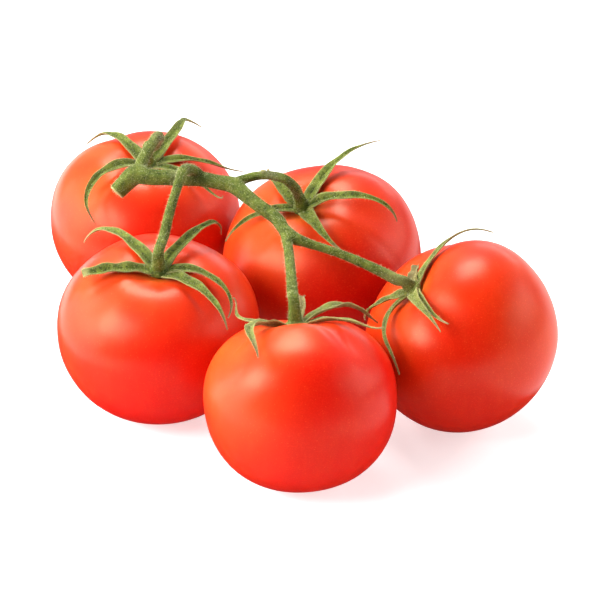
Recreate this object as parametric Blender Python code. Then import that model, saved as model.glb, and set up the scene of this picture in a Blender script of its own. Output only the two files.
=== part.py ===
"""A truss of five ripe tomatoes on its green vine stem, lying on a flat surface.

Metres, +Z up. The origin is on the surface, under the middle of the bunch, and -Y is the
side of the front fruit. The tables below are in millimetres and degrees, in the layout's
own plan, which the object "truss" then shifts so that the bunch stands over the origin.

Each fruit is a squat round body round its own axis. The axis runs from the blossom end up
to the stem end, and leans from the vertical by "lean" degrees towards the plan direction
"toward". A turn round the axis counts from the side nearest +X. A drop is the angle down
from the stem end.
"""
import math
from collections import namedtuple

import bmesh
import bpy
from mathutils import Matrix, Vector

MM = 0.001
PLAN_MIDDLE = (-1.64, 6.85)

# Fruit form, as shares of the fruit's radius
ROUNDNESS = 2.2
DIMPLE_DEPTH = 0.13
DIMPLE_WIDTH = 0.27
SHOULDER_DROP = math.radians(48)
SHOULDER_SPREAD = math.radians(30)
FLAT_SPOT_SINK = 0.8
FRUIT_SIDES = 36
FRUIT_RINGS = 17
RING_CROWDING = 1.25

# Calyx and stem, in millimetres. SEPAL_CUP and STALK_WAIST are shares.
GAP = 0.5
HEAD_RADIUS = 4.0
HEAD_FLOOR_RADIUS = 2.0
HEAD_TOP_RADIUS = 2.6
HEAD_RIM = 0.7
HEAD_HEIGHT = 3.3
HEAD_SIDES = 16
SEPAL_ROOT_RADIUS = 1.0
SEPAL_ROOT_HEIGHT = 1.3
SEPAL_STEPS = 11
SEPAL_THICK_ROOT = 1.1
SEPAL_THICK_TIP = 0.62
SEPAL_TIP_WIDTH = 0.7
SEPAL_CUP = 0.14
STALK_END_RADIUS = 2.2
STALK_WAIST = 0.84
STEM_STEPS = 2
STEM_SIDES = 10

# Sepal form, as shares of its length or width
SEPAL_ROOT_WIDTH = 0.75
SEPAL_WIDENING = 2.5
SEPAL_NARROWING = 0.8
SEPAL_CUP_START = 0.2
SEPAL_TIP_START = 0.6

Fruit = namedtuple("Fruit", "x y radius top base lean toward lobes valleys")
Lobe = namedtuple("Lobe", "count amount turn")
Valley = namedtuple("Valley", "turn depth width")
Sepal = namedtuple("Sepal", "turn length width rise arch sway curl hook")

FRUITS = {
    1: Fruit(0, -57, 32.0, 0.80, 1.00, 22, 100,
             [Lobe(3, 0.4, 30)], [Valley(-35, 1.3, 16), Valley(-150, 0.8, 20)]),
    2: Fruit(-48.5, -10.8, 34.6, 0.77, 0.92, 10, -80,
             [Lobe(4, 0.4, 10)], [Valley(-150, 1.2, 14), Valley(-35, 0.9, 14)]),
    3: Fruit(-56.2, 68.6, 34.6, 0.80, 0.88, 12, -75,
             [Lobe(3, 0.5, 60)], [Valley(-160, 1.0, 16), Valley(-20, 0.8, 18), Valley(120, 0.8, 14)]),
    4: Fruit(7.6, 36.2, 35.5, 0.78, 0.89, 22, -135,
             [Lobe(4, 0.5, 40)], [Valley(-15, 1.4, 13), Valley(-110, 1.0, 18), Valley(50, 1.0, 14)]),
    5: Fruit(53, -19, 33.4, 0.77, 1.01, 41, -172,
             [Lobe(3, 0.4, 0)], [Valley(60, 1.0, 14), Valley(-60, 0.8, 16)]),
}

# The sepals of each calyx: turn, length, width, then the path's angles in degrees.
# rise is the root's climb above the plane square to the axis, arch is the change of climb
# along the sepal, sway is its change of turn, and curl and hook are what its tip adds to each.
SEPALS = {
    1: [
        Sepal(-161, 39, 3.4, 21, -44, 107, -60, 0),
        Sepal(-167, 29, 2.6, 11, -6, -96, 140, -90),
        Sepal(60, 21, 2.6, 46, -50, 55, -10, -50),
        Sepal(16, 39, 4.0, 36, -88, 62, 12, -50),
        Sepal(-3, 32, 3.2, 21, -58, -40, 60, -10),
    ],
    2: [
        Sepal(127, 48, 4.6, 20, -74, 0, -15, 35),
        Sepal(-176, 25, 4.6, 17, -32, 10, 0, 0),
        Sepal(51, 41, 4.2, 33, -74, 7, -56, 0),
        Sepal(4, 36, 4.4, 20, -54, -78, 5, -50),
        Sepal(-31, 37, 4.8, 15, -27, -37, -40, 0),
    ],
    3: [
        Sepal(129, 44, 4.4, 19, -88, -10, 15, 23),
        Sepal(49, 47, 4.4, 28, -90, 55, 22, -110),
        Sepal(11, 35, 3.8, 19, -60, -14, 30, 18),
        Sepal(-163, 42, 3.8, 25, -54, 79, -22, 60),
        Sepal(-21, 35, 4.0, 20, -58, -24, 110, -25),
    ],
    4: [
        Sepal(130, 26, 5.0, 25, -42, -18, -10, -20),
        Sepal(56, 43, 4.8, 21, -58, -8, 12, -20),
        Sepal(-12, 40, 4.6, 38, -84, -5, -50, -45),
        Sepal(-70, 32, 5.0, 29, -44, 10, -18, 28),
        Sepal(178, 31, 3.6, 23, -64, 16, 0, 20),
    ],
    5: [
        Sepal(32, 44, 4.0, 21, -88, 48, 0, -25),
        Sepal(76, 9, 5.0, 24, -28, -20, 20, 0),
        Sepal(-171, 20, 4.0, 30, -30, -6, -56, 40),
        Sepal(-141, 40, 4.4, 26, -55, 90, -24, -65),
        Sepal(-75, 34, 4.4, 27, -50, 11, -17, -20),
        Sepal(-67, 33, 3.6, 19, -37, -4, -4, 25),
    ],
}

# The stem's branches: x, y, z and radius of each point, in millimetres. Each goes on to the
# calyx of the fruit that it names, and runs straight along the fruit's axis at the end.
Branch = namedtuple("Branch", "fruit straight route")
STEM = {
    "main": Branch(1, 7.0, [
        (-63.7, 24.0, 64.0, 2.9), (-60.3, 26.0, 67.0, 3.2), (-56.6, 26.6, 69.8, 3.5),
        (-51.5, 24.4, 70.0, 2.8), (-43.2, 23.4, 70.2, 2.7), (-35.2, 22.8, 70.2, 2.6),
        (-28.3, 20.6, 70.0, 2.5), (-22.6, 18.0, 70.0, 2.8), (-18.4, 13.0, 68.9, 2.5),
        (-14.2, 8.2, 67.7, 2.3), (-9.8, 4.2, 66.4, 2.3), (-6.8, 0.0, 65.4, 2.2),
        (-5.0, -5.6, 64.3, 1.9), (-4.0, -13.5, 63.4, 1.7), (-3.3, -24.0, 62.6, 1.7),
        (-2.8, -34.0, 61.8, 1.8), (-2.4, -41.0, 61.0, 1.9),
    ]),
    "stalk_2": Branch(2, 7.0, [
        (-33.5, 22.6, 70.8, 1.6), (-37.0, 22.0, 74.0, 1.9), (-39.8, 18.2, 75.8, 2.0),
        (-41.2, 12.2, 75.2, 1.7), (-42.8, 5.6, 72.6, 1.6), (-44.6, -1.4, 68.8, 1.7),
        (-46.0, -8.0, 64.8, 1.8),
    ]),
    "stalk_3": Branch(3, 7.0, [
        (-56.0, 27.0, 69.6, 2.2), (-54.8, 33.4, 71.8, 2.1), (-52.8, 39.4, 73.2, 1.8),
        (-51.0, 44.6, 74.2, 1.9), (-49.9, 49.2, 73.0, 2.1), (-50.4, 53.6, 69.2, 1.8),
        (-52.2, 58.0, 64.6, 1.8),
    ]),
    "stalk_4": Branch(4, 5.0, [
        (-23.4, 18.4, 70.2, 2.2), (-19.3, 20.6, 71.2, 1.7), (-14.6, 21.0, 72.4, 1.6),
        (-9.6, 20.0, 73.0, 1.6), (-5.0, 19.0, 72.0, 1.7), (-1.8, 21.2, 67.6, 1.8),
    ]),
    "stalk_5": Branch(5, 3.0, [
        (-7.6, 0.6, 65.2, 1.9), (-3.0, -6.8, 63.8, 2.3), (1.7, -9.8, 63.2, 1.7),
        (7.4, -11.8, 62.2, 1.5), (14.4, -14.4, 60.9, 1.5), (21.2, -17.0, 59.1, 1.6),
        (27.6, -19.4, 57.0, 1.8), (32.4, -21.2, 55.2, 2.0),
    ]),
}


def clear_scene():
    for found in list(bpy.data.objects):
        bpy.data.objects.remove(found, do_unlink=True)


def material(name, colour, roughness):
    """A plain material with the piece's own colour."""
    made = bpy.data.materials.new(name)
    made.use_nodes = True
    shader = made.node_tree.nodes["Principled BSDF"]
    shader.inputs["Base Color"].default_value = (*colour, 1.0)
    shader.inputs["Roughness"].default_value = roughness
    shader.inputs["Metallic"].default_value = 0.0
    return made


def add_object(name, mesh, finish, parent=None):
    made = bpy.data.objects.new(name, mesh)
    bpy.context.scene.collection.objects.link(made)
    mesh.materials.append(finish)
    mesh.shade_smooth()
    made.parent = parent
    return made


def mesh_from(name, points, faces):
    """A mesh of triangles with its faces turned outwards."""
    mesh = bpy.data.meshes.new(name)
    mesh.from_pydata([tuple(point) for point in points], [], faces)
    shell = bmesh.new()
    shell.from_mesh(mesh)
    bmesh.ops.recalc_face_normals(shell, faces=shell.faces)
    bmesh.ops.triangulate(shell, faces=shell.faces)
    shell.to_mesh(mesh)
    shell.free()
    return mesh


def ring_faces(rings, sides):
    """Quads split alike between rings of points, with a fan at each end."""
    faces = []
    for ring in range(rings - 1):
        for side in range(sides):
            after = (side + 1) % sides
            low, high = ring * sides, (ring + 1) * sides
            faces.append((low + side, low + after, high + after))
            faces.append((low + side, high + after, high + side))
    first, last = rings * sides, rings * sides + 1
    for side in range(sides):
        after = (side + 1) % sides
        top = (rings - 1) * sides
        faces.append((first, after, side))
        faces.append((last, top + side, top + after))
    return faces


# Fruit

def fruit_axis(fruit):
    lean, toward = math.radians(fruit.lean), math.radians(fruit.toward)
    return Vector((math.sin(lean) * math.cos(toward), math.sin(lean) * math.sin(toward),
                   math.cos(lean)))


def fruit_turn(fruit):
    """Rotation from the fruit's own axes to the plan: its X is the side nearest +X."""
    axis = fruit_axis(fruit)
    side = Vector((1, 0, 0))
    side = (side - axis * side.dot(axis)).normalized()
    return Matrix((side, axis.cross(side), axis)).transposed()


def dimple(fruit, rho):
    return DIMPLE_DEPTH * fruit.radius * math.exp(-(rho / (DIMPLE_WIDTH * fruit.radius)) ** 2)


def angle_between(first, second):
    return (first - second + math.pi) % (2 * math.pi) - math.pi


def shoulder_swell(fruit, turn, drop):
    """Low lobes and valleys that run from the dimple over the shoulder and fade out."""
    weight = math.exp(-((drop - SHOULDER_DROP) / SHOULDER_SPREAD) ** 2)
    swell = sum(lobe.amount * math.cos(lobe.count * (turn - math.radians(lobe.turn)))
                for lobe in fruit.lobes)
    for valley in fruit.valleys:
        off = angle_between(turn, math.radians(valley.turn)) / math.radians(valley.width)
        swell -= valley.depth * math.exp(-off ** 2)
    return swell * weight


def skin_point(fruit, turn, drop):
    """Point of the skin in the fruit's own axes, before its flat spot."""
    share = 2 / ROUNDNESS
    rho = fruit.radius * math.sin(drop) ** share
    tall = fruit.top if drop < math.pi / 2 else -fruit.base
    height = tall * fruit.radius * abs(math.cos(drop)) ** share
    stretch = 1 + shoulder_swell(fruit, turn, drop) / fruit.radius
    rho, height = rho * stretch, height * stretch
    if tall > 0:
        height -= dimple(fruit, rho)
    return Vector((rho * math.cos(turn), rho * math.sin(turn), height))


def fruit_points(fruit):
    """Rings of skin points from the stem end down, then the two end points."""
    points = []
    for ring in range(1, FRUIT_RINGS):
        drop = math.pi * (ring / FRUIT_RINGS) ** RING_CROWDING
        points += [skin_point(fruit, 2 * math.pi * side / FRUIT_SIDES, drop)
                   for side in range(FRUIT_SIDES)]
    points.append(skin_point(fruit, 0, 0))
    points.append(skin_point(fruit, 0, math.pi))
    return points


def fruit_centre(fruit):
    """The fruit sinks a little, so that its lowest skin makes a small flat spot."""
    turned = fruit_turn(fruit)
    lowest = min((turned @ point).z for point in fruit_points(fruit))
    return Vector((fruit.x, fruit.y, -lowest - FLAT_SPOT_SINK))


def flatten_spot(fruit, point, turned, centre):
    placed = turned @ point + centre
    placed.z = max(placed.z, 0.0)
    return turned.transposed() @ (placed - centre)


def make_fruit(number, finish, parent):
    fruit = FRUITS[number]
    turned, centre = fruit_turn(fruit), fruit_centre(fruit)
    points = [flatten_spot(fruit, point, turned, centre) * MM for point in fruit_points(fruit)]
    name = f"tomato_{number}"
    mesh = mesh_from(name, points, ring_faces(FRUIT_RINGS - 1, FRUIT_SIDES))
    made = add_object(name, mesh, finish, parent)
    made.location = centre * MM
    made.rotation_euler = turned.to_euler()
    return made


# Calyx

def dimple_floor(fruit):
    return fruit.top * fruit.radius - dimple(fruit, 0)


def skin_height(fruit, rho):
    """Height of the dimple's skin above its floor, near the axis."""
    crown = fruit.top * fruit.radius * (1 - (rho / fruit.radius) ** ROUNDNESS) ** (1 / ROUNDNESS)
    return crown - dimple(fruit, rho) - dimple_floor(fruit)


def head_points(fruit):
    """The calyx's round head: its underside follows the dimple, its top is flat."""
    edge_height = skin_height(fruit, HEAD_RADIUS) + GAP
    profile = [(HEAD_FLOOR_RADIUS, skin_height(fruit, HEAD_FLOOR_RADIUS) + GAP),
               (HEAD_RADIUS, edge_height),
               (HEAD_RADIUS, edge_height + HEAD_RIM),
               (HEAD_TOP_RADIUS, HEAD_HEIGHT)]
    points = []
    for rho, height in profile:
        points += [Vector((rho * math.cos(a), rho * math.sin(a), height))
                   for a in (2 * math.pi * side / HEAD_SIDES for side in range(HEAD_SIDES))]
    return points + [Vector((0, 0, GAP)), Vector((0, 0, HEAD_HEIGHT))]


def sepal_heading(sepal, share):
    """The way that a sepal runs at a share of its length, and the level way across it."""
    tip = max(0.0, (share - SEPAL_TIP_START) / (1 - SEPAL_TIP_START)) ** 2
    climb = math.radians(sepal.rise + sepal.arch * share + sepal.curl * tip)
    heading = math.radians(sepal.turn + sepal.sway * share + sepal.hook * tip)
    ahead = Vector((math.cos(climb) * math.cos(heading),
                    math.cos(climb) * math.sin(heading), math.sin(climb)))
    return ahead, Vector((-math.sin(heading), math.cos(heading), 0))


def sepal_path(sepal):
    """Points and headings along a sepal, in the fruit's axes from the dimple's floor."""
    start = math.radians(sepal.turn)
    point = Vector((SEPAL_ROOT_RADIUS * math.cos(start), SEPAL_ROOT_RADIUS * math.sin(start),
                    SEPAL_ROOT_HEIGHT))
    path = []
    for step in range(SEPAL_STEPS + 1):
        share = step / SEPAL_STEPS
        ahead, across = sepal_heading(sepal, share)
        path.append((share, point.copy(), ahead, across))
        halfway = sepal_heading(sepal, share + 0.5 / SEPAL_STEPS)[0]
        point += halfway * sepal.length / SEPAL_STEPS
    return path


def sepal_points(sepal):
    """Six-sided sections: a thin blade with its edges lifted and its tip drawn to a thread."""
    points = []
    for share, centre, ahead, across in sepal_path(sepal):
        up = ahead.cross(across)
        root = min(1.0, SEPAL_ROOT_WIDTH + SEPAL_WIDENING * share)
        taper = root * (1 - share) ** SEPAL_NARROWING
        half = (SEPAL_TIP_WIDTH + (sepal.width - SEPAL_TIP_WIDTH) * taper) / 2
        thick = (SEPAL_THICK_ROOT + (SEPAL_THICK_TIP - SEPAL_THICK_ROOT) * share) / 2
        lift = SEPAL_CUP * half * 2 * min(1.0, share / SEPAL_CUP_START)
        for side, above in ((-1, -1), (0, -1), (1, -1), (1, 1), (0, 1), (-1, 1)):
            edge = abs(side) * lift
            points.append(centre + across * side * half + up * (above * thick + edge))
    first, last = sepal_path(sepal)[0], sepal_path(sepal)[-1]
    return points + [first[1], last[1]]


def join_by_union(body, pieces):
    """Fuse the pieces into the body with one Boolean union."""
    group = bpy.data.collections.new(body.name + "_pieces")
    bpy.context.scene.collection.children.link(group)
    for piece in pieces:
        bpy.context.scene.collection.objects.unlink(piece)
        group.objects.link(piece)
    union = body.modifiers.new("union", "BOOLEAN")
    union.operation = "UNION"
    union.operand_type = "COLLECTION"
    union.collection = group
    union.solver = "EXACT"
    union.use_self = True
    depsgraph = bpy.context.evaluated_depsgraph_get()
    joined = bpy.data.meshes.new_from_object(body.evaluated_get(depsgraph))
    body.modifiers.clear()
    body.data = joined
    for piece in pieces:
        bpy.data.objects.remove(piece, do_unlink=True)
    bpy.data.collections.remove(group)


def make_calyx(number, finish, parent):
    """The head of the calyx with its sepals, seated in the dimple of its fruit."""
    fruit = FRUITS[number]
    name = f"calyx_{number}"
    head = mesh_from(name, [p * MM for p in head_points(fruit)], ring_faces(4, HEAD_SIDES))
    made = add_object(name, head, finish)
    blades = []
    for sepal in SEPALS[number]:
        blade = mesh_from("sepal", [p * MM for p in sepal_points(sepal)],
                          ring_faces(SEPAL_STEPS + 1, 6))
        blades.append(add_object("sepal", blade, finish))
    join_by_union(made, blades)
    made.parent = parent
    turned = fruit_turn(fruit)
    made.location = (fruit_centre(fruit) + fruit_axis(fruit) * dimple_floor(fruit)) * MM
    made.rotation_euler = turned.to_euler()
    return made


# Stem

def along_curve(points):
    """A smooth curve through the points, as (place, radius) pairs."""
    padded = [points[0] * 2 - points[1], *points, points[-1] * 2 - points[-2]]
    curve = []
    for first, second, third, fourth in zip(padded, padded[1:], padded[2:], padded[3:]):
        for step in range(STEM_STEPS):
            t = step / STEM_STEPS
            curve.append(0.5 * (second * 2 + (third - first) * t
                                + (first * 2 - second * 5 + third * 4 - fourth) * t ** 2
                                + (second * 3 - first - third * 3 + fourth) * t ** 3))
    curve.append(points[-1])
    return curve


def tube_points(curve):
    """Round sections square to the curve, turned as little as possible from one to the next."""
    places = [point.to_3d() for point in curve]
    ahead = [(after - before).normalized()
             for before, after in zip([places[0], *places[:-1]], [*places[1:], places[-1]])]
    side = ahead[0].orthogonal().normalized()
    points = []
    for point, place, way in zip(curve, places, ahead):
        side = (side - way * side.dot(way)).normalized()
        other = way.cross(side)
        for number in range(STEM_SIDES):
            angle = 2 * math.pi * number / STEM_SIDES
            points.append(place + (side * math.cos(angle) + other * math.sin(angle)) * point.w)
    return points + [places[0], places[-1]]


def stalk_end(branch):
    """Where a stalk comes down its fruit's axis to the flat top of the calyx."""
    fruit = FRUITS[branch.fruit]
    floor = fruit_centre(fruit) + fruit_axis(fruit) * dimple_floor(fruit)
    high = floor + fruit_axis(fruit) * (HEAD_HEIGHT + branch.straight)
    low = floor + fruit_axis(fruit) * (HEAD_HEIGHT + GAP)
    return [Vector((*high, STALK_END_RADIUS * STALK_WAIST)), Vector((*low, STALK_END_RADIUS))]


def make_branch(name, finish):
    branch = STEM[name]
    curve = along_curve([Vector(point) for point in branch.route] + stalk_end(branch))
    points = [point * MM for point in tube_points(curve)]
    mesh = mesh_from(name, points, ring_faces(len(curve), STEM_SIDES))
    return add_object(name, mesh, finish)


def make_stem(finish, parent):
    """The main stem with its forks and its five fruit stalks, grown as one piece."""
    branches = [make_branch(name, finish) for name in STEM]
    made = branches[0]
    made.name = "truss_stem"
    join_by_union(made, branches[1:])
    made.parent = parent
    return made


def main():
    clear_scene()
    skin = material("tomato_skin", (0.75, 0.035, 0.012), 0.28)
    sepal_green = material("sepal_green", (0.16, 0.26, 0.06), 0.6)
    stem_green = material("stem_green", (0.13, 0.22, 0.05), 0.6)
    truss = bpy.data.objects.new("truss", None)
    bpy.context.scene.collection.objects.link(truss)
    truss.location = (-PLAN_MIDDLE[0] * MM, -PLAN_MIDDLE[1] * MM, 0)
    for number in FRUITS:
        make_fruit(number, skin, truss)
        make_calyx(number, sepal_green, truss)
    make_stem(stem_green, truss)


main()
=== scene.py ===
"""The looks of a truss of five ripe tomatoes on its green vine stem.

Metres, +Z up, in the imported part's own frame. The tables below are in millimetres and
degrees, in the layout's own plan, and PLAN_MIDDLE is the point of it that lies over the
part's origin. The fruit, sepals and vine pieces stand for the CAD's tomatoes, calyxes and
truss stem. They repeat its layout and paths, and add finer form, colour and hairs.
"""
import math
import random
from collections import namedtuple

import bmesh
import bpy
import numpy as np
from mathutils import Matrix, Vector, noise


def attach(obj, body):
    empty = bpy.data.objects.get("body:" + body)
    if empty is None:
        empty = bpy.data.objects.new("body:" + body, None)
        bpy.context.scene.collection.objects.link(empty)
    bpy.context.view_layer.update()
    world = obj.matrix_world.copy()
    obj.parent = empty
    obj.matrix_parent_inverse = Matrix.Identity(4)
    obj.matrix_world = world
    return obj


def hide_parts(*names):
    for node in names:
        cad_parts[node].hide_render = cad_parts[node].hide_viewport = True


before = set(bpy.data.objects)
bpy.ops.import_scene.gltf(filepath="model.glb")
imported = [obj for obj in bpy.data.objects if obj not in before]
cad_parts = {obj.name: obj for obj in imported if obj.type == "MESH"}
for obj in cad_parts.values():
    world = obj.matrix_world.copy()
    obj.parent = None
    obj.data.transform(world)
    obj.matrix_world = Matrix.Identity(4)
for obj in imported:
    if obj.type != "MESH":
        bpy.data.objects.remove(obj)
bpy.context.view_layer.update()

MM = 0.001
PLAN_MIDDLE = Vector((-1.64, 6.85, 0))

# Fruit form, as shares of the fruit's radius, and how far it sinks in millimetres
ROUNDNESS = 2.2
DIMPLE_DEPTH = 0.13
DIMPLE_WIDTH = 0.27
SHOULDER_DROP = math.radians(48)
SHOULDER_SPREAD = math.radians(30)
FLAT_SPOT_SINK = 0.8

# The CAD fruit's rings and sides, which fix where it sinks to, and those of the finer skin
CAD_SIDES = 36
CAD_RINGS = 17
CAD_RING_CROWDING = 1.25
SKIN_SIDES = 160
SKIN_RINGS = 120
SKIN_RING_CROWDING = 1.1

# Relief of the skin, in millimetres
PLEAT_COUNTS = (7, 11, 17)
PLEAT_HEIGHT, PLEAT_RADIUS, PLEAT_REACH = 0.05, 8, 4.5
DENT_DEPTH, DENT_SIZE = 0.24, 19
RIPPLE_DEPTH, RIPPLE_SIZE = 0.03, 6
CREASE_HALF_WIDTH, CREASE_HALF_LENGTH = 1.5, 5.5
SCAR_DEPTH, SCAR_RADIUS = 0.9, 2.2
SCAR_LIP_HEIGHT, SCAR_LIP_RADIUS, SCAR_LIP_WIDTH = 0.25, 3.4, 1.3

# The raised rim in front of the first fruit's dimple: its turn and spread are in degrees
RIM_FRUIT = 1
RIM_TURN, RIM_SPREAD = -84, 55
RIM_REACH, RIM_HEIGHT = 9, 1.9
RIM_INNER_WIDTH, RIM_OUTER_WIDTH = 3, 7

# Ways that the sides lit by the left lamp and by the right lamp face: the orange put on these sides
# is painted light
LEFT_LIGHT_SIDE = np.array([-0.90, -0.20, 0.38])
RIGHT_LIGHT_SIDE = np.array([0.92, 0.00, 0.38])

# How much orange each fruit has: the first share scales its shoulder flush together with the
# painted light on its left-lit side, the second is painted light on its right-lit side
FLUSH_AND_LIT_ORANGE = {1: (1.0, 0.0), 2: (1.0, 0.5), 3: (1.0, 0.4), 4: (1.0, 0.25), 5: (0.6, 0.6)}

# Calyx and stem, in millimetres
GAP = 0.5
HEAD_RADIUS = 4.0
HEAD_HEIGHT = 3.3
SEPAL_ROOT_RADIUS = 1.0
SEPAL_ROOT_HEIGHT = 1.3
SEPAL_STEPS = 54
SEPAL_THICK_ROOT = 1.0
SEPAL_THICK_TIP = 0.34
SEPAL_TIP_WIDTH = 0.34
SEPAL_TIP_START = 0.6
STALK_END_RADIUS = 2.2
STALK_WAIST = 0.84
STEM_STEPS = 9
STEM_SIDES = 28
STEM_VOXEL = 0.34
SEPAL_HAIRS, SEPAL_HAIR_LENGTH = 2800, 0.42
VINE_HAIRS, VINE_HAIR_LENGTH = 11000, 0.62
HAIR_RADIUS = 0.030
HAIR_SINK = 0.05

# Sepals are this many times as wide as their table says, because their edges are thin and wavy
FULLNESS = 1.18

# How much paler than the rest the calyxes of these fruits are
PALENESS = {1: 0.15, 5: 0.12}

Fruit = namedtuple("Fruit", "x y radius top base lean toward lobes valleys")
Lobe = namedtuple("Lobe", "count amount turn")
Valley = namedtuple("Valley", "turn depth width")
Sepal = namedtuple("Sepal", "turn length width rise arch sway curl hook end")
Branch = namedtuple("Branch", "fruit straight route")

# The photograph's view: degrees above the surface, metres from the bunch, and the lens in mm
CAMERA_RISE = 30
CAMERA_DISTANCE = 1.1
CAMERA_LENS = 191.3

# Place in the plan, radius, height of the top and of the base as shares of the radius, lean and
# the way that it leans in degrees, then the low lobes and valleys of the shoulder
FRUITS = {
    1: Fruit(0, -57, 32.0, 0.80, 1.00, 22, 100,
             [Lobe(3, 0.4, 30)], [Valley(-35, 1.3, 16), Valley(-150, 0.8, 20)]),
    2: Fruit(-48.5, -10.8, 34.6, 0.77, 0.92, 10, -80,
             [Lobe(4, 0.4, 10)], [Valley(-150, 1.2, 14), Valley(-35, 0.9, 14)]),
    3: Fruit(-56.2, 68.6, 34.6, 0.80, 0.88, 12, -75,
             [Lobe(3, 0.5, 60)],
             [Valley(-160, 1.0, 16), Valley(-20, 0.8, 18), Valley(120, 0.8, 14)]),
    4: Fruit(7.6, 36.2, 35.5, 0.78, 0.89, 22, -135,
             [Lobe(4, 0.5, 40)],
             [Valley(-15, 1.0, 13), Valley(-110, 0.5, 18), Valley(50, 0.6, 14)]),
    5: Fruit(53, -19, 33.4, 0.77, 1.01, 41, -172,
             [Lobe(3, 0.4, 0)], [Valley(60, 1.0, 14), Valley(-60, 1.5, 16)]),
}

# Narrow creases of each fruit's shoulder: turn in degrees, distance from the axis, and depth
CREASES = {
    1: [(-54, 16, 0.3), (-150, 17, 0.35), (100, 15, 0.3)],
    2: [(-160, 19, 0.45), (-46, 18, 0.5)],
    3: [(-137, 21, 0.5), (141, 19, 0.4), (-28, 22, 0.35)],
    4: [(-32, 31, 0.35), (-140, 18, 0.3)],
    5: [(47, 17, 0.4), (160, 16, 0.3)],
}

# The sepals of each calyx: turn, length, width, then the path's angles in degrees.
# rise is the root's climb above the plane square to the axis, arch is the change of climb
# along the sepal, sway is its change of turn, and curl and hook are what its tip adds to each.
# end says how it ends: a dry thread, a long thin wisp, broad nearly to the tip, blunt, or torn.
SEPALS = {
    1: [
        Sepal(-161, 39, 4.0, 21, -44, 107, -60, 0, "broad"),
        Sepal(-167, 29, 2.6, 11, -6, -96, 140, -90, "thread"),
        Sepal(60, 21, 2.2, 46, -50, 55, -10, -50, "torn"),
        Sepal(16, 39, 3.8, 36, -88, 62, 12, -50, "broad"),
        Sepal(-3, 32, 3.2, 21, -58, -40, 60, -10, "thread"),
    ],
    2: [
        Sepal(127, 48, 4.3, 20, -74, 0, -15, 35, "thread"),
        Sepal(-176, 25, 4.4, 17, -32, 10, 0, 0, "blunt"),
        Sepal(51, 41, 4.2, 33, -74, 7, -56, 0, "thread"),
        Sepal(4, 36, 4.0, 20, -54, -78, 5, -50, "thread"),
        Sepal(-31, 37, 4.8, 15, -27, -37, -40, 0, "thread"),
    ],
    3: [
        Sepal(129, 44, 4.4, 19, -88, -10, 15, 23, "thread"),
        Sepal(49, 47, 4.4, 28, -90, 55, 22, -110, "thread"),
        Sepal(11, 35, 3.8, 19, -60, -14, 30, 18, "thread"),
        Sepal(-163, 42, 4.8, 25, -54, 79, -22, 60, "thread"),
        Sepal(-21, 35, 4.0, 20, -58, -24, 110, -25, "wisp"),
    ],
    4: [
        Sepal(130, 26, 5.0, 25, -42, -18, -10, -20, "thread"),
        Sepal(56, 43, 4.8, 21, -58, -8, 12, -20, "thread"),
        Sepal(-12, 40, 4.6, 38, -84, -5, -50, -45, "thread"),
        Sepal(-70, 32, 5.0, 29, -44, 10, -18, 28, "thread"),
        Sepal(178, 31, 3.6, 23, -64, 16, 0, 20, "thread"),
    ],
    5: [
        Sepal(32, 44, 3.8, 21, -88, 48, 0, -25, "wisp"),
        Sepal(76, 9, 5.0, 24, -28, -20, 20, 0, "torn"),
        Sepal(-171, 20, 4.0, 30, -30, -6, -56, 40, "thread"),
        Sepal(-141, 40, 2.2, 26, -55, 90, -24, -65, "thread"),
        Sepal(-75, 34, 4.0, 27, -50, 11, -17, -20, "thread"),
        Sepal(-67, 33, 3.4, 19, -37, -4, -4, 25, "thread"),
    ],
}

# The stem's branches: x, y, z and radius of each point, in millimetres. Each goes on to the
# calyx of the fruit that it names, and runs straight along the fruit's axis at the end.
STEM = {
    "main": Branch(1, 7.0, [
        (-63.7, 24.0, 64.0, 2.9), (-60.3, 26.0, 67.0, 3.2), (-56.6, 26.6, 69.8, 3.5),
        (-51.5, 24.4, 70.0, 2.8), (-43.2, 23.4, 70.2, 2.7), (-35.2, 22.8, 70.2, 2.6),
        (-28.3, 20.6, 70.0, 2.5), (-22.6, 18.0, 70.0, 2.8), (-18.4, 13.0, 68.9, 2.5),
        (-14.2, 8.2, 67.7, 2.3), (-9.8, 4.2, 66.4, 2.3), (-6.8, 0.0, 65.4, 2.2),
        (-5.0, -5.6, 64.3, 1.9), (-4.0, -13.5, 63.4, 1.7), (-3.3, -24.0, 62.6, 1.7),
        (-2.8, -34.0, 61.8, 1.8), (-2.4, -41.0, 61.0, 1.9),
    ]),
    "stalk_2": Branch(2, 7.0, [
        (-33.5, 22.6, 70.8, 1.6), (-37.0, 22.0, 74.0, 1.9), (-39.8, 18.2, 75.8, 2.0),
        (-41.2, 12.2, 75.2, 1.7), (-42.8, 5.6, 72.6, 1.6), (-44.6, -1.4, 68.8, 1.7),
        (-46.0, -8.0, 64.8, 1.8),
    ]),
    "stalk_3": Branch(3, 7.0, [
        (-56.0, 27.0, 69.6, 2.2), (-54.8, 33.4, 71.8, 2.1), (-52.8, 39.4, 73.2, 1.8),
        (-51.0, 44.6, 74.2, 1.9), (-49.9, 49.2, 73.0, 2.1), (-50.4, 53.6, 69.2, 1.8),
        (-52.2, 58.0, 64.6, 1.8),
    ]),
    "stalk_4": Branch(4, 5.0, [
        (-23.4, 18.4, 70.2, 2.2), (-19.3, 20.6, 71.2, 1.7), (-14.6, 21.0, 72.4, 1.6),
        (-9.6, 20.0, 73.0, 1.6), (-5.0, 19.0, 72.0, 1.7), (-1.8, 21.2, 67.6, 1.8),
    ]),
    "stalk_5": Branch(5, 3.0, [
        (-7.6, 0.6, 65.2, 1.9), (-3.0, -6.8, 63.8, 2.3), (1.7, -9.8, 63.2, 1.7),
        (7.4, -11.8, 62.2, 1.5), (14.4, -14.4, 60.9, 1.5), (21.2, -17.0, 59.1, 1.6),
        (27.6, -19.4, 57.0, 1.8), (32.4, -21.2, 55.2, 2.0),
    ]),
}
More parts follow.
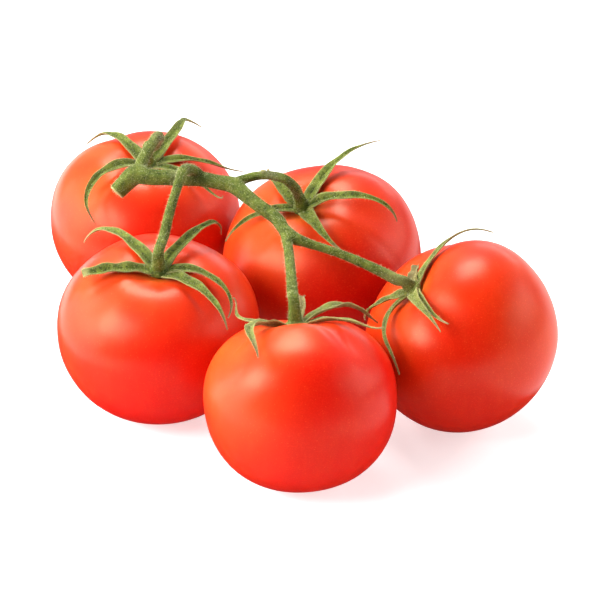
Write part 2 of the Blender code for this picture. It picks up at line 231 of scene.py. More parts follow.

# Each fruit's ripe red and its orange, which is both its real flush and painted light on its lit
# sides
SKIN_COLOURS = {
    1: ((0.56, 0.0030, 0.0008), (0.72, 0.088, 0.012)),
    2: ((0.56, 0.0012, 0.0010), (0.72, 0.062, 0.010)),
    3: ((0.54, 0.0012, 0.0010), (0.72, 0.070, 0.010)),
    # The fourth fruit's red is darker than the others': painted shade for where it lies
    4: ((0.47, 0.0010, 0.0010), (0.66, 0.070, 0.008)),
    5: ((0.49, 0.0050, 0.0004), (0.66, 0.062, 0.006)),
}

# The scar of a shed bud, on top of the fourth stalk's arch
BUD_SCAR = [(-12.8, 20.5, 73.0, 1.0), (-12.7, 20.3, 74.3, 0.95), (-12.6, 20.2, 75.0, 0.8)]


# Meshes

def mesh_piece(name, points, faces, finish):
    """A smooth mesh object in the part's frame, riding on the part, in its material slot."""
    mesh = bpy.data.meshes.new(name)
    mesh.from_pydata(np.asarray(points, float).tolist(), [], faces)
    shell = bmesh.new()
    shell.from_mesh(mesh)
    bmesh.ops.recalc_face_normals(shell, faces=shell.faces)
    shell.to_mesh(mesh)
    shell.free()
    mesh.shade_smooth()
    mesh.materials.append(finish)
    made = bpy.data.objects.new(name, mesh)
    bpy.context.scene.collection.objects.link(made)
    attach(made, "root")
    return made


def tube_faces(rings, sides, start=0):
    """Quads between rings of points, with a fan at each end to the two last points."""
    faces = []
    for ring in range(rings - 1):
        low, high = start + ring * sides, start + (ring + 1) * sides
        for side in range(sides):
            after = (side + 1) % sides
            faces.append((low + side, low + after, high + after, high + side))
    first = start + rings * sides
    last = first + 1
    top = first - sides
    for side in range(sides):
        after = (side + 1) % sides
        faces.append((first, start + after, start + side))
        faces.append((last, top + side, top + after))
    return faces


def set_marks(made, marks):
    """Three shares for each vertex, which the material reads as the colour attribute "marks"."""
    layer = made.data.color_attributes.new("marks", "FLOAT_COLOR", "POINT")
    values = np.ones((len(marks), 4), np.float32)
    values[:, :3] = np.clip(marks, 0, 1)
    layer.data.foreach_set("color", values.ravel())


def rough(point, size, seed=0.0):
    """Smooth noise from -1 to 1 at a point in millimetres, with features of that size."""
    return noise.noise(Vector(point) / size + Vector((seed, seed * 0.7, -seed)))


# Fruit

def fruit_axis(fruit):
    lean, toward = math.radians(fruit.lean), math.radians(fruit.toward)
    return Vector((math.sin(lean) * math.cos(toward), math.sin(lean) * math.sin(toward),
                   math.cos(lean)))


def fruit_turn(fruit):
    """Rotation from the fruit's own axes to the plan: its X is the side nearest +X."""
    axis = fruit_axis(fruit)
    side = Vector((1, 0, 0))
    side = (side - axis * side.dot(axis)).normalized()
    return Matrix((side, axis.cross(side), axis)).transposed()


def dimple(fruit, rho):
    return DIMPLE_DEPTH * fruit.radius * np.exp(-(rho / (DIMPLE_WIDTH * fruit.radius)) ** 2)


def shoulder_swell(fruit, turn, drop):
    """Low lobes and valleys that run from the dimple over the shoulder and fade out."""
    weight = np.exp(-((drop - SHOULDER_DROP) / SHOULDER_SPREAD) ** 2)
    swell = sum(lobe.amount * np.cos(lobe.count * (turn - math.radians(lobe.turn)))
                for lobe in fruit.lobes)
    for valley in fruit.valleys:
        off = (turn - math.radians(valley.turn) + math.pi) % (2 * math.pi) - math.pi
        swell = swell - valley.depth * np.exp(-(off / math.radians(valley.width)) ** 2)
    return swell * weight


def skin_grid(fruit, turn, drop):
    """Skin points in the fruit's own axes, in millimetres, for arrays of turns and drops."""
    share = 2 / ROUNDNESS
    above = drop < math.pi / 2
    rho = fruit.radius * np.clip(np.sin(drop), 0, 1) ** share
    tall = np.where(above, fruit.top, -fruit.base)
    height = tall * fruit.radius * np.abs(np.cos(drop)) ** share
    stretch = 1 + shoulder_swell(fruit, turn, drop) / fruit.radius
    rho, height = rho * stretch, height * stretch
    height = height - above * dimple(fruit, rho)
    return np.stack([rho * np.cos(turn), rho * np.sin(turn), height], -1)


def fruit_centre(fruit):
    """The CAD fruit's centre: it sinks a little, so that its lowest skin makes a flat spot."""
    ring = np.arange(1, CAD_RINGS)[:, None] / CAD_RINGS
    drop = math.pi * ring ** CAD_RING_CROWDING
    turn = 2 * math.pi * np.arange(CAD_SIDES)[None, :] / CAD_SIDES
    points = skin_grid(fruit, turn + 0 * drop, drop + 0 * turn).reshape(-1, 3)
    points = np.vstack([points, [0, 0, -fruit.base * fruit.radius]])
    lowest = (points @ np.array(fruit_turn(fruit)).T)[:, 2].min()
    return Vector((fruit.x, fruit.y, -lowest - FLAT_SPOT_SINK)) - PLAN_MIDDLE


def crease(rho, turn, at, reach, depth):
    """Depth of one narrow crease that runs out from the fruit's axis."""
    off = rho * np.sin(turn - math.radians(at))
    facing = np.cos(turn - math.radians(at)) > 0
    across, along = off / CREASE_HALF_WIDTH, (rho - reach) / CREASE_HALF_LENGTH
    return facing * depth * np.exp(-across ** 2 - along ** 2)


def front_rim(rho, turn):
    """Height of the raised rim round one side of the dimple."""
    off = (np.degrees(turn) - RIM_TURN + 180) % 360 - 180
    away = (rho - RIM_REACH) / np.where(rho < RIM_REACH, RIM_INNER_WIDTH, RIM_OUTER_WIDTH)
    return RIM_HEIGHT * np.exp(-(off / RIM_SPREAD) ** 2 - away ** 2)


def skin_relief(number, points, turn):
    """Small unevenness: pleats round the dimple, soft dents, and a pit at the blossom end."""
    rho = np.hypot(points[:, 0], points[:, 1])
    above, under = points[:, 2] > 0, points[:, 2] < 0
    pleats = sum(np.sin(count * turn + number * count) for count in PLEAT_COUNTS) / 3
    lift = PLEAT_HEIGHT * pleats * np.exp(-((rho - PLEAT_RADIUS) / PLEAT_REACH) ** 2) * above
    lift += [DENT_DEPTH * rough(point, DENT_SIZE, number) for point in points]
    lift += [RIPPLE_DEPTH * rough(point, RIPPLE_SIZE, number) for point in points]
    for at, reach, depth in CREASES[number]:
        lift -= above * crease(rho, turn, at, reach, depth)
    if number == RIM_FRUIT:
        lift += above * front_rim(rho, turn)
    lift -= under * SCAR_DEPTH * np.exp(-(rho / SCAR_RADIUS) ** 2)
    lip = np.exp(-((rho - SCAR_LIP_RADIUS) / SCAR_LIP_WIDTH) ** 2)
    lift += under * SCAR_LIP_HEIGHT * lip
    outward = points / np.linalg.norm(points, axis=1)[:, None]
    return points + outward * lift[:, None]


def fruit_marks(number, points, outward, drop):
    """Shares of orange, of the blossom scar, and of the pale ring in the dimple. The orange is a
    real flush round the shoulder and painted light on the sides that face the left and right lamps.
    """
    rho = np.hypot(points[:, 0], points[:, 1])
    patch = np.array([rough(point, 13, 3 + number) for point in points])
    # Painted light: how much each point faces the left lamp and the right lamp
    left_lit = np.clip(outward @ LEFT_LIGHT_SIDE, 0, 1)
    right_lit = np.clip(outward @ RIGHT_LIGHT_SIDE, 0, 1)
    left_lit_share, right_lit_share = FLUSH_AND_LIT_ORANGE[number]
    # A real orange flush round the shoulder, made stronger with painted light where the skin faces
    # the left lamp, then painted light on the sides facing the left and right lamps
    shoulder = np.exp(-((drop - 0.42) / 0.42) ** 2) * (0.6 + 0.6 * patch) * (0.45 + 0.8 * left_lit)
    shoulder += 0.6 * left_lit ** 2 * (1 + 0.5 * patch)
    shoulder = shoulder * left_lit_share + right_lit_share * right_lit ** 2 * (1 + 0.5 * patch)
    scar = (drop > 2) * np.exp(-(rho / 1.7) ** 4)
    ring = (drop < 1) * np.exp(-(rho / 5.5) ** 2)
    return np.stack([shoulder, scar, ring], 1)


def make_fruit(number, finish):
    """The whole skin of a fruit, where the CAD's fruit is, with its flat spot on the surface."""
    fruit = FRUITS[number]
    share = np.arange(1, SKIN_RINGS)[:, None] / SKIN_RINGS
    drop = math.pi * share ** SKIN_RING_CROWDING
    turn = 2 * math.pi * np.arange(SKIN_SIDES)[None, :] / SKIN_SIDES
    drops = np.append((drop + 0 * turn).ravel(), [0, math.pi])
    turns = np.append((turn + 0 * drop).ravel(), [0, 0])
    points = skin_grid(fruit, turns, drops)
    points = skin_relief(number, points, turns)
    turned, centre = np.array(fruit_turn(fruit)), np.array(fruit_centre(fruit))
    outward = points / np.linalg.norm(points, axis=1)[:, None] @ turned.T
    marks = fruit_marks(number, points, outward, drops)
    placed = points @ turned.T + centre
    placed[:, 2] = np.maximum(placed[:, 2], 0)
    made = mesh_piece(f"fruit_{number}", placed * MM, tube_faces(SKIN_RINGS - 1, SKIN_SIDES),
                      finish)
    set_marks(made, marks)
    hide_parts(f"tomato_{number}")


# Calyx

def dimple_floor(fruit):
    return fruit.top * fruit.radius - float(dimple(fruit, 0))


def skin_height(fruit, rho):
    """Height of the dimple's skin above its floor, near the axis."""
    crown = fruit.top * fruit.radius * (1 - (rho / fruit.radius) ** ROUNDNESS) ** (1 / ROUNDNESS)
    return crown - float(dimple(fruit, rho)) - dimple_floor(fruit)


def head_rings(fruit, sides):
    """The calyx's round head, with a soft rim: its underside follows the dimple."""
    edge = skin_height(fruit, HEAD_RADIUS) + GAP
    profile = [(1.0, GAP), (2.2, skin_height(fruit, 2.2) + GAP), (3.0, edge - 0.2),
               (3.4, edge + 0.3), (3.3, edge + 0.8), (3.0, 2.7), (2.6, 3.15),
               (1.2, HEAD_HEIGHT)]
    rings = []
    for rho, height in profile:
        for side in range(sides):
            angle = 2 * math.pi * side / sides
            ripple = 1 + 0.05 * math.sin(5 * angle + fruit.toward) * (rho > 2)
            rings.append((rho * ripple * math.cos(angle), rho * ripple * math.sin(angle), height))
    return rings + [(0, 0, GAP), (0, 0, HEAD_HEIGHT)], len(profile)


def sepal_heading(sepal, share):
    """The way that a sepal runs at a share of its length, and the level way across it."""
    tip = max(0.0, (share - SEPAL_TIP_START) / (1 - SEPAL_TIP_START)) ** 2
    climb = math.radians(sepal.rise + sepal.arch * share + sepal.curl * tip)
    heading = math.radians(sepal.turn + sepal.sway * share + sepal.hook * tip)
    ahead = Vector((math.cos(climb) * math.cos(heading),
                    math.cos(climb) * math.sin(heading), math.sin(climb)))
    return ahead, Vector((-math.sin(heading), math.cos(heading), 0))


def sepal_path(sepal):
    """Points and headings along a sepal, in the fruit's axes from the dimple's floor."""
    start = math.radians(sepal.turn)
    point = Vector((SEPAL_ROOT_RADIUS * math.cos(start), SEPAL_ROOT_RADIUS * math.sin(start),
                    SEPAL_ROOT_HEIGHT))
    path = []
    for step in range(SEPAL_STEPS + 1):
        share = step / SEPAL_STEPS
        ahead, across = sepal_heading(sepal, share)
        path.append((share, point.copy(), ahead, across))
        halfway = sepal_heading(sepal, share + 0.5 / SEPAL_STEPS)[0]
        point += halfway * sepal.length / SEPAL_STEPS
    return path


def sepal_width(sepal, share):
    """Narrow at the root, widest at a fifth of the length, and drawn out to the end."""
    root = 0.74 + 0.26 * math.sin(min(1.0, share / 0.24) * math.pi / 2)
    if sepal.end == "blunt":
        taper = 1 - 0.16 * share ** 2 - 0.2 * max(0.0, share - 0.95) / 0.05
    elif sepal.end == "torn":
        taper = 1 - 0.55 * share
    elif sepal.end == "wisp":
        taper = (1 - share) ** 1.7
    elif sepal.end == "broad":
        taper = 1 - (max(0.0, share - 0.3) / 0.7) ** 1.5
    else:
        taper = (1 - max(0.0, share - 0.12) / 0.88) ** 1.05
    return SEPAL_TIP_WIDTH + (sepal.width * FULLNESS - SEPAL_TIP_WIDTH) * root * taper


# Places across a blade's section, from edge to edge, closer together at the edges and midrib
SECTION = [-1.0, -0.86, -0.62, -0.36, -0.14, 0.0, 0.14, 0.36, 0.62, 0.86, 1.0]


def sepal_section(number, sepal, seed, share, centre, ahead, across):
    """Both faces of the blade at one place: cupped, creased at the midrib, wavy at its edges."""
    up = ahead.cross(across)
    width = sepal_width(sepal, share)
    half = width / 2
    thick = SEPAL_THICK_ROOT + (SEPAL_THICK_TIP - SEPAL_THICK_ROOT) * share ** 0.6
    thick = min(thick, 0.25 + width * 0.35)
    twist = 0.5 * math.sin(seed * 2.1) * share ** 2
    cup = (0.13 + 0.22 * share) * min(1.0, share / 0.15) * width
    points, marks = [], []
    for face in (-1, 1):
        spread = SECTION if face < 0 else SECTION[::-1]
        for place in spread:
            edge = abs(place)
            ragged = 1 + 0.10 * rough((share * 9, place > 0, seed), 1.0, seed)
            wave = 0.16 * width * edge * math.sin(share * 19 + seed * 3 + (place > 0) * 1.9)
            wave *= min(1.0, share / 0.3) * 0.5
            groove = -0.20 * math.exp(-(place / 0.16) ** 2) * min(1.0, width / 2.5)
            rib = -0.22 * math.exp(-(place / 0.2) ** 2) * min(1.0, width / 2.5)
            level = cup * edge ** 1.6 + wave + twist * place * half
            level += face * thick / 2 * (1 - 0.55 * edge ** 3)
            level += groove if face > 0 else rib
            points.append(centre + across * (place * half * ragged) + up * level)
            marks.append(sepal_marks(number, sepal, share, edge, face))
    return points, marks


def sepal_marks(number, sepal, share, edge, face):
    """Shares of pale margin, of dry brown tip, and of painted shade: dark green down the midrib
    crease and at the root.
    """
    dry = max(0.0, (share - 0.80) / 0.16)
    pale = edge ** 5 * 0.45 + 0.15 * (face < 0)
    if sepal.end == "blunt":
        dry = 0.0
        pale += max(0.0, (share - 0.88) / 0.08)
    if sepal.end == "torn":
        dry = 0.35 + 0.4 * share
    # Painted shade: darker down the midrib crease and where the sepal leaves the head
    painted_shade = math.exp(-(edge / 0.2) ** 2) * 0.6 * (1 - share) + 0.5 * math.exp(-(share / 0.07) ** 2)
    paler = PALENESS.get(number, 0)
    return pale + paler, dry, painted_shade * (1 - 4 * paler)


def make_calyx(number, finish):
    """The head of the calyx and its sepals, seated in the dimple of its fruit."""
    fruit = FRUITS[number]
    sides = 28
    points, rings = head_rings(fruit, sides)
    faces = tube_faces(rings, sides)
    paler = PALENESS.get(number, 0)
    # The head is darkened with painted shade
    marks = [(paler, 0, 0.55 * (1 - 4 * paler))] * len(points)
    for order, sepal in enumerate(SEPALS[number]):
        seed = number * 7 + order
        start = len(points)
        path = sepal_path(sepal)
        for share, centre, ahead, across in path:
            ring, shades = sepal_section(number, sepal, seed, share, centre, ahead, across)
            points += ring
            marks += shades
        points += [path[0][1], path[-1][1]]
        # The root's cap takes painted shade and the tip's cap is dry
        marks += [(0, 0, 0.5), (0, 1, 0)]
        faces += tube_faces(len(path), 2 * len(SECTION), start)
    seat = fruit_centre(fruit) + fruit_axis(fruit) * dimple_floor(fruit)
    turned = fruit_turn(fruit)
    points = [(seat + turned @ Vector(point)) * MM for point in points]
    made = mesh_piece(f"sepals_{number}", points, faces, finish)
    set_marks(made, np.array(marks))
    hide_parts(f"calyx_{number}")
    return made


# Stem

def along_curve(points):
    """A smooth curve through the points, with the radius as the fourth number."""
    padded = [points[0] * 2 - points[1], *points, points[-1] * 2 - points[-2]]
    curve = []
    for first, second, third, fourth in zip(padded, padded[1:], padded[2:], padded[3:]):
        for step in range(STEM_STEPS):
            t = step / STEM_STEPS
            curve.append(0.5 * (second * 2 + (third - first) * t
                                + (first * 2 - second * 5 + third * 4 - fourth) * t ** 2
                                + (second * 3 - first - third * 3 + fourth) * t ** 3))
    curve.append(points[-1])
    return curve


def stalk_end(branch):
    """Where a stalk comes down its fruit's axis into the top of the calyx."""
    fruit = FRUITS[branch.fruit]
    floor = fruit_centre(fruit) + PLAN_MIDDLE + fruit_axis(fruit) * dimple_floor(fruit)
    high = floor + fruit_axis(fruit) * (HEAD_HEIGHT + branch.straight)
    low = floor + fruit_axis(fruit) * (HEAD_HEIGHT + GAP)
    seat = floor + fruit_axis(fruit) * (HEAD_HEIGHT - 0.5)
    return [Vector((*high, STALK_END_RADIUS * STALK_WAIST)),
            Vector((*low, STALK_END_RADIUS * 1.05)),
            Vector((*seat, STALK_END_RADIUS * 1.25))]


def tube_points(curve, seed):
    """Ribbed round sections square to the curve."""
    places = [point.to_3d() for point in curve]
    ahead = [(after - before).normalized()
             for before, after in zip([places[0], *places[:-1]], [*places[1:], places[-1]])]
    side = ahead[0].orthogonal().normalized()
    points = []
    for point, place, way in zip(curve, places, ahead):
        side = (side - way * side.dot(way)).normalized()
        other = way.cross(side)
        for number in range(STEM_SIDES):
            angle = 2 * math.pi * number / STEM_SIDES
            out = side * math.cos(angle) + other * math.sin(angle)
            rib = 1 + 0.035 * math.sin(5 * angle + seed) + 0.02 * math.sin(9 * angle + 2 * seed)
            lump = 0.05 * rough(place + out * point.w, 4.0, seed)
            points.append(place + out * point.w * (rib + lump))
    return points + [places[0], places[-1]]


def fused(made):
    """One skin round all the branches, so that the forks grow into each other with webs."""
    remesh = made.modifiers.new("skin", "REMESH")
    remesh.mode = "VOXEL"
    remesh.voxel_size = STEM_VOXEL * MM
    ease = made.modifiers.new("ease", "SMOOTH")
    ease.factor = 0.5
    ease.iterations = 5
    depsgraph = bpy.context.evaluated_depsgraph_get()
    mesh = bpy.data.meshes.new_from_object(made.evaluated_get(depsgraph))
    made.modifiers.clear()
    made.data = mesh
    mesh.shade_smooth()


def near(points, place, radius):
    """A share that is 1 at a place and fades out round it."""
    off = np.linalg.norm(points - np.array(place), axis=1)
    return np.exp(-(off / radius) ** 2)


def stem_marks(points):
    """Shares of pale cut face and bud scar with painted light near the fifth stalk's end, of
    grey-purple knuckle, and of painted shade at the forks.
    """
    plan = points / MM + np.array(PLAN_MIDDLE)
    start, after = (np.array(STEM["main"].route[n][:3]) for n in (0, 1))
    way = (after - start) / np.linalg.norm(after - start)
    depth = (plan - start) @ way
    reach = np.linalg.norm(plan - start, axis=1)
    core = np.linalg.norm((plan - start) - np.outer(depth, way), axis=1)
    cut = (reach < 4.5) * np.clip(1 - (depth - 0.25) / 0.35, 0, 1)
    pale = cut * np.where(core > 1.9, 1.0, 0.62) + 0.9 * near(plan, BUD_SCAR[-1][:3], 1.0)
    # Painted light: the end of the fifth stalk by its calyx is made paler
    pale += 0.28 * near(plan, STEM["stalk_5"].route[-1][:3], 5.5)
    knuckle = 0.8 * near(plan, (-41.5, 21.4, 75.0), 3.2)
    knuckle += sum(0.3 * near(plan, STEM["stalk_3"].route[n][:3], 3.4) for n in (3, 4))
    knuckle += 0.5 * near(plan, STEM["stalk_4"].route[3][:3], 3)
    # Painted shade at the forks where the second and fifth stalks leave the stem
    painted_shade = near(plan, STEM["stalk_2"].route[0][:3], 4.5) * 0.9
    painted_shade += 0.5 * near(plan, STEM["stalk_5"].route[0][:3], 3.5)
    return np.stack([pale, knuckle * 0.75, painted_shade], 1)


def make_stem(finish):
    """The main stem with its cut end, its forks and its five fruit stalks, as one skin."""
    points, faces = [], []
    routes = [[Vector(point) for point in branch.route] + stalk_end(branch)
              for branch in STEM.values()]
    routes.append([Vector(point) for point in BUD_SCAR])
    for seed, route in enumerate(routes):
        curve = along_curve(route)
        faces += tube_faces(len(curve), STEM_SIDES, len(points))
        points += tube_points(curve, seed + 1)
    points = [(point - PLAN_MIDDLE) * MM for point in points]
    made = mesh_piece("vine", points, faces, finish)
    fused(made)
    made.data.materials.clear()
    made.data.materials.append(finish)
    found = np.array([vertex.co for vertex in made.data.vertices])
    set_marks(made, stem_marks(found))
    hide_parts("truss_stem")
    return made


# Hairs

def make_hairs(name, bearer, count, length, finish, seed):
    """Fine upright hairs, each a slim four-sided spike, spread evenly over a piece."""
    pick = random.Random(seed)
    mesh = bearer.data
    mesh.calc_loop_triangles()
    corners = [[mesh.vertices[v].co for v in tri.vertices] for tri in mesh.loop_triangles]
    areas = [tri.area for tri in mesh.loop_triangles]
    chosen = pick.choices(range(len(areas)), weights=areas, k=count)
    points, faces = [], []
    for index in chosen:
        a, b, c = corners[index]
        u, v = pick.random(), pick.random()
        if u + v > 1:
            u, v = 1 - u, 1 - v
        root = a + (b - a) * u + (c - a) * v
        normal = mesh.loop_triangles[index].normal
        lean = Vector([pick.gauss(0, 0.35) for _ in range(3)])
        way = (normal + lean).normalized()
        side = way.orthogonal().normalized()
        other = way.cross(side)
        tall = length * pick.choice((0.5, 0.7, 0.9, 1.6)) * MM
        wide = HAIR_RADIUS * MM
        start = len(points)
        base = root - normal * HAIR_SINK * MM
        points += [base + side * wide, base - side * wide * 0.5 + other * wide * 0.87,
                   base - side * wide * 0.5 - other * wide * 0.87, base + way * tall]
        faces += [(start, start + 2, start + 1), (start, start + 1, start + 3),
                  (start + 1, start + 2, start + 3), (start + 2, start, start + 3)]
    mesh_piece(name, points, faces, finish)


# Materials

class Shader:
    """A Principled material, with short ways to add and join its nodes."""

    def __init__(self, name, **constants):
        self.material = bpy.data.materials.new(name)
        self.material.use_nodes = True
        self.tree = self.material.node_tree
        self.main = self.tree.nodes["Principled BSDF"]
        for key, value in constants.items():
            self.main.inputs[key.replace("_", " ").title()].default_value = value
        self.place = self.add("TexCoord").outputs["Object"]

    def add(self, kind, settings=None, inputs=None):
        made = self.tree.nodes.new("ShaderNode" + kind)
        for key, value in (settings or {}).items():
            setattr(made, key, value)
        for key, value in (inputs or {}).items():
            self.put(made.inputs[key], value)
        return made

    def put(self, socket, value):
        if isinstance(value, bpy.types.NodeSocket):
            self.tree.links.new(value, socket)
        else:
            socket.default_value = value

    def noise(self, size, detail=2.0, stretch=None):
        """Noise with features of a size in millimetres, from 0 to 1."""
        place = self.place
        if stretch:
            mapped = self.add("Mapping", inputs={"Vector": place, "Scale": stretch})
            place = mapped.outputs[0]
        made = self.add("TexNoise", inputs={"Vector": place, "Scale": 1 / (size * MM),
                                            "Detail": detail})
        return made.outputs[0]

    def spread(self, value, low, high, to_low=0.0, to_high=1.0):
        """A share that goes from one value to another as the input crosses a range."""
        made = self.add("MapRange", inputs={"Value": value, "From Min": low, "From Max": high,
                                            "To Min": to_low, "To Max": to_high})
        return made.outputs[0]

    def times(self, first, second):
        made = self.add("Math", {"operation": "MULTIPLY"}, {0: first, 1: second})
        return made.outputs[0]

    def mix(self, share, first, second):
        made = self.add("Mix", {"data_type": "RGBA"}, {0: share, 6: first, 7: second})
        return made.outputs[2]

    def mix_value(self, share, first, second):
        made = self.add("Mix", {"data_type": "FLOAT"}, {0: share, 2: first, 3: second})
        return made.outputs[0]

    def marks(self):
        found = self.add("VertexColor", {"layer_name": "marks"})
        parts = self.add("SeparateColor", inputs={"Color": found.outputs["Color"]})
        return [parts.outputs[n] for n in range(3)]

    def dots(self, size, radius):
        """Round dots scattered at a spacing in millimetres: 1 in a dot's middle."""
        made = self.add("TexVoronoi", inputs={"Vector": self.place, "Scale": 1 / (size * MM)})
        return self.spread(made.outputs["Distance"], radius, radius * 0.65)

    def relief(self, height, depth):
        made = self.add("Bump", inputs={"Height": height, "Distance": depth * MM,
                                        "Strength": 1.0})
        self.put(self.main.inputs["Normal"], made.outputs[0])


def colour(red, green, blue):
    return (red, green, blue, 1.0)


def skin_material(number, ripe, flush):
    """Glossy waxy skin: red with an orange shoulder and orange painted light on its lit sides,
    faint streaks and fine golden dots.
    """
    made = Shader(f"tomato_skin_{number}", metallic=0.0, subsurface_weight=0.12,
                  subsurface_radius=(1.0, 0.15, 0.05), subsurface_scale=0.003)
    made.main.inputs["IOR"].default_value = 1.40
    made.main.inputs["Specular IOR Level"].default_value = 0.45
    made.main.inputs["Specular Tint"].default_value = colour(1.0, 0.90, 0.62)
    shoulder, scar, ring = made.marks()
    cloud = made.spread(made.noise(22, 3), 0.3, 0.7)
    base = made.mix(made.times(cloud, 0.04), ripe, flush)
    # Orange from the shoulder flush and from painted light on the lit sides
    base = made.mix(made.times(shoulder, 0.9), base, flush)
    streak = made.spread(made.noise(2.6, 2, (1, 1, 0.2)), 0.5, 0.75, 0, 0.03)
    base = made.mix(streak, base, colour(0.95, 0.16, 0.03))
    grain = made.spread(made.noise(0.5, 1), 0.45, 0.72, 0, 0.13)
    base = made.mix(grain, base, colour(1.0, 0.06, 0.02))
    dots = made.times(made.dots(1.3, 0.16), 0.15)
    base = made.mix(dots, base, colour(1.0, 0.24, 0.06))
    base = made.mix(made.times(ring, 0.55), base, colour(0.80, 0.26, 0.03))
    base = made.mix(scar, base, colour(0.20, 0.10, 0.03))
    made.put(made.main.inputs["Base Color"], base)
    gloss = made.spread(made.noise(5, 3), 0.2, 0.8, 0.28, 0.34)
    made.put(made.main.inputs["Roughness"], made.mix_value(scar, gloss, 0.8))
    made.relief(made.noise(0.5, 2), 0.012)
    return made.material


def green_material(name, light, dark, dried, specks):
    """Matt green with a hairy bloom, mottled and specked, pale and dry where it is marked, and dark
    with painted shade where it is marked so.
    """
    made = Shader(name, metallic=0.0, sheen_weight=0.02, sheen_roughness=0.45,
                  sheen_tint=colour(0.85, 0.95, 0.6), subsurface_weight=0.08,
                  subsurface_radius=(0.5, 1.0, 0.2), subsurface_scale=0.001)
    pale, dry, painted_shade = made.marks()
    mottle = made.spread(made.noise(3.0, 4), 0.35, 0.65)
    base = made.mix(mottle, dark, light)
    fine = made.spread(made.noise(0.7, 2), 0.4, 0.7, 0, 0.45)
    base = made.mix(fine, base, colour(0.11, 0.13, 0.02))
    bristle = made.times(made.dots(0.58, 0.34), 0.5)
    base = made.mix(bristle, base, colour(0.28, 0.30, 0.07))
    # Painted shade: dark green where the marks say that shade falls
    base = made.mix(made.times(painted_shade, 0.8), base, colour(0.032, 0.050, 0.008))
    spots = made.times(made.dots(1.15, 0.36), specks)
    base = made.mix(spots, base, colour(0.022, 0.026, 0.008))
    # Pale cut face, bud scar and margins, with painted light at the fifth stalk's end
    base = made.mix(made.times(pale, 0.9), base, colour(0.42, 0.38, 0.16))
    base = made.mix(dry, base, dried)
    made.put(made.main.inputs["Base Color"], base)
    made.put(made.main.inputs["Roughness"], made.spread(made.noise(1.5), 0.3, 0.7, 0.6, 0.75))
    made.main.inputs["Specular IOR Level"].default_value = 0.14
    made.relief(made.noise(0.45, 3), 0.10)
    return made.material


def hair_material():
    """Pale yellow-green, lighter in some places than in others."""
    made = Shader("hairs", metallic=0.0, roughness=0.5)
    tint = made.mix(made.spread(made.noise(4.0), 0.3, 0.7), colour(0.48, 0.50, 0.22),
                    colour(0.80, 0.78, 0.46))
    made.put(made.main.inputs["Base Color"], tint)
    return made.material


# Stage

def make_floor():
    """A white ground that the camera sees, and that the fruits' gloss does not."""
    mesh = bpy.data.meshes.new("floor")
    side = 6.0
    mesh.from_pydata([(-side, -side, 0), (side, -side, 0), (side, side, 0), (-side, side, 0)],
                     [], [(0, 1, 2, 3)])
    floor = bpy.data.objects.new("floor", mesh)
    bpy.context.scene.collection.objects.link(floor)
    floor.location.z = -0.05 * MM
    floor.visible_glossy = False
    white = bpy.data.materials.new("floor_white")
    white.use_nodes = True
    shader = white.node_tree.nodes["Principled BSDF"]
    shader.inputs["Base Color"].default_value = colour(0.7, 0.7, 0.7)
    shader.inputs["Roughness"].default_value = 0.9
    shader.inputs["Emission Color"].default_value = colour(1, 1, 1)
    shader.inputs["Emission Strength"].default_value = 0.6
    mesh.materials.append(white)


def make_softbox(name, direction, distance, width, height, power, part="both"):
    """A soft area light that faces the bunch, from a distance in metres.

    The part "light" lights the bunch and isn't mirrored in it, and "image" is only mirrored.
    """
    light = bpy.data.lights.new(name, "AREA")
    light.shape = "RECTANGLE"
    light.size, light.size_y = width, height
    light.energy = power
    made = bpy.data.objects.new(name, light)
    bpy.context.scene.collection.objects.link(made)
    way = Vector(direction).normalized()
    made.location = way * distance + Vector((0, 0, 0.03))
    made.rotation_euler = (-way).to_track_quat("-Z", "Y").to_euler()
    made.visible_glossy = part != "light"
    made.visible_diffuse = part != "image"
    made.visible_camera = part != "image"


def make_ground_image(name, low, high, radiance):
    """The mirror image of the white ground, over one rectangle of it."""
    light = bpy.data.lights.new(name, "AREA")
    light.shape = "RECTANGLE"
    light.size, light.size_y = high[0] - low[0], high[1] - low[1]
    light.energy = radiance * math.pi * light.size * light.size_y
    made = bpy.data.objects.new(name, light)
    bpy.context.scene.collection.objects.link(made)
    made.location = ((low[0] + high[0]) / 2, (low[1] + high[1]) / 2, 0)
    made.rotation_euler = (math.pi, 0, 0)
    made.visible_camera = False
    made.visible_diffuse = False


def make_lights():
    make_ground_image("ground_left", (-0.8, -0.6), (-0.14, 0.6), 2.4)
    make_ground_image("ground_right", (0.095, -0.4), (0.42, 0.9), 1.25)
    make_ground_image("ground_behind", (-0.6, 0.105), (0.095, 0.6), 0.5)
    make_softbox("left_light", (-0.86, -0.05, 0.48), 1.8, 1.8, 1.5, 88, "light")
    make_softbox("left_image", (-0.93, 0.05, 0.20), 1.8, 1.8, 0.9, 17, "image")
    make_softbox("front_light", (-0.54, -0.56, 0.62), 1.8, 0.42, 0.42, 11, "light")
    make_softbox("front_image", (-0.70, -0.28, 0.55), 0.36, 0.17, 0.15, 1.0, "image")
    make_softbox("behind_light", (-0.12, 0.60, 0.80), 1.8, 1.1, 1.0, 40, "light")
    make_softbox("behind_image", (-0.11, 0.51, 0.84), 1.8, 0.8, 0.7, 20, "image")
    make_softbox("low_light", (0.32, 0.92, 0.19), 1.8, 1.0, 0.35, 2.5)
    make_softbox("right_light", (0.92, 0.05, 0.36), 1.8, 2.2, 1.5, 35, "light")
    make_softbox("right_image", (0.92, 0.15, 0.34), 1.8, 1.3, 0.8, 6, "image")
    bpy.context.scene.view_settings.view_transform = "Standard"


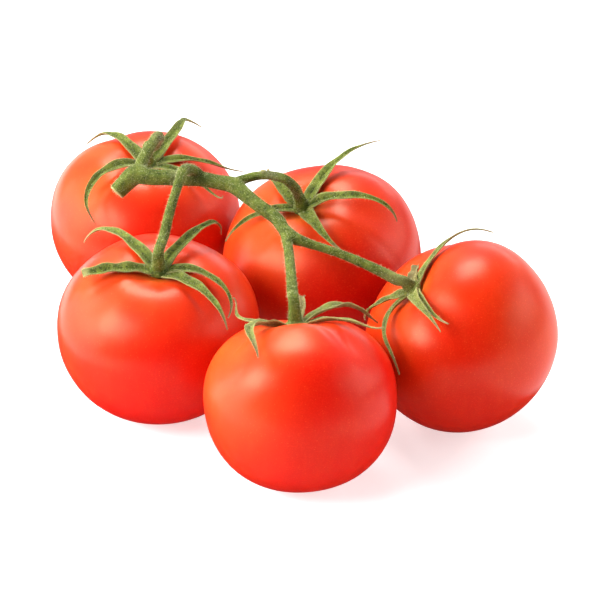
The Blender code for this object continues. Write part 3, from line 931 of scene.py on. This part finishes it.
def make_world():
    """A white backdrop for the camera, and a room that glows behind the bunch and above it."""
    world = bpy.data.worlds.new("studio")
    world.use_nodes = True
    tree = world.node_tree
    background = tree.nodes["Background"]
    background.inputs["Color"].default_value = colour(1, 1, 1)
    way = tree.nodes.new("ShaderNodeTexCoord")
    parts = tree.nodes.new("ShaderNodeSeparateXYZ")
    tree.links.new(way.outputs["Generated"], parts.inputs[0])
    behind = tree.nodes.new("ShaderNodeMapRange")
    for socket, value in {"From Min": 0.1, "From Max": 0.8, "To Min": 0.06, "To Max": 0.7}.items():
        behind.inputs[socket].default_value = value
    tree.links.new(parts.outputs["Y"], behind.inputs["Value"])
    above = tree.nodes.new("ShaderNodeMapRange")
    for socket, value in {"From Min": -0.15, "From Max": 0.25, "To Min": 0.05, "To Max": 1}.items():
        above.inputs[socket].default_value = value
    tree.links.new(parts.outputs["Z"], above.inputs["Value"])
    glow = tree.nodes.new("ShaderNodeMath")
    glow.operation = "MULTIPLY"
    tree.links.new(behind.outputs[0], glow.inputs[0])
    tree.links.new(above.outputs[0], glow.inputs[1])
    seen = tree.nodes.new("ShaderNodeLightPath")
    bright = tree.nodes.new("ShaderNodeMath")
    bright.operation = "MAXIMUM"
    tree.links.new(glow.outputs[0], bright.inputs[0])
    tree.links.new(seen.outputs["Is Camera Ray"], bright.inputs[1])
    tree.links.new(bright.outputs[0], background.inputs["Strength"])
    bpy.context.scene.world = world


def make_camera():
    """The photograph's view."""
    camera = bpy.data.cameras.new("camera")
    camera.sensor_width = 36.0
    camera.lens = CAMERA_LENS
    camera.clip_start, camera.clip_end = 0.05, 30
    made = bpy.data.objects.new("camera", camera)
    bpy.context.scene.collection.objects.link(made)
    rise = math.radians(CAMERA_RISE)
    target = (Vector((0, 0, 35)) - PLAN_MIDDLE) * MM
    back = Vector((0, -math.cos(rise), math.sin(rise)))
    made.location = target + back * CAMERA_DISTANCE
    made.rotation_euler = (-back).to_track_quat("-Z", "Y").to_euler()
    bpy.context.scene.camera = made


def main():
    sepal = green_material("sepal_green", colour(0.135, 0.166, 0.020), colour(0.032, 0.050, 0.003),
                           colour(0.26, 0.19, 0.09), 0.8)
    stem = green_material("stem_green", colour(0.110, 0.138, 0.020), colour(0.028, 0.044, 0.004),
                          colour(0.20, 0.17, 0.12), 0.35)
    hair = hair_material()
    for number in FRUITS:
        ripe, flush = SKIN_COLOURS[number]
        make_fruit(number, skin_material(number, colour(*ripe), colour(*flush)))
        leaves = make_calyx(number, sepal)
        make_hairs(f"sepal_hairs_{number}", leaves, SEPAL_HAIRS, SEPAL_HAIR_LENGTH, hair,
                   number)
    vine = make_stem(stem)
    make_hairs("vine_hairs", vine, VINE_HAIRS, VINE_HAIR_LENGTH, hair, 9)
    make_floor()
    make_lights()
    make_world()
    make_camera()


main()
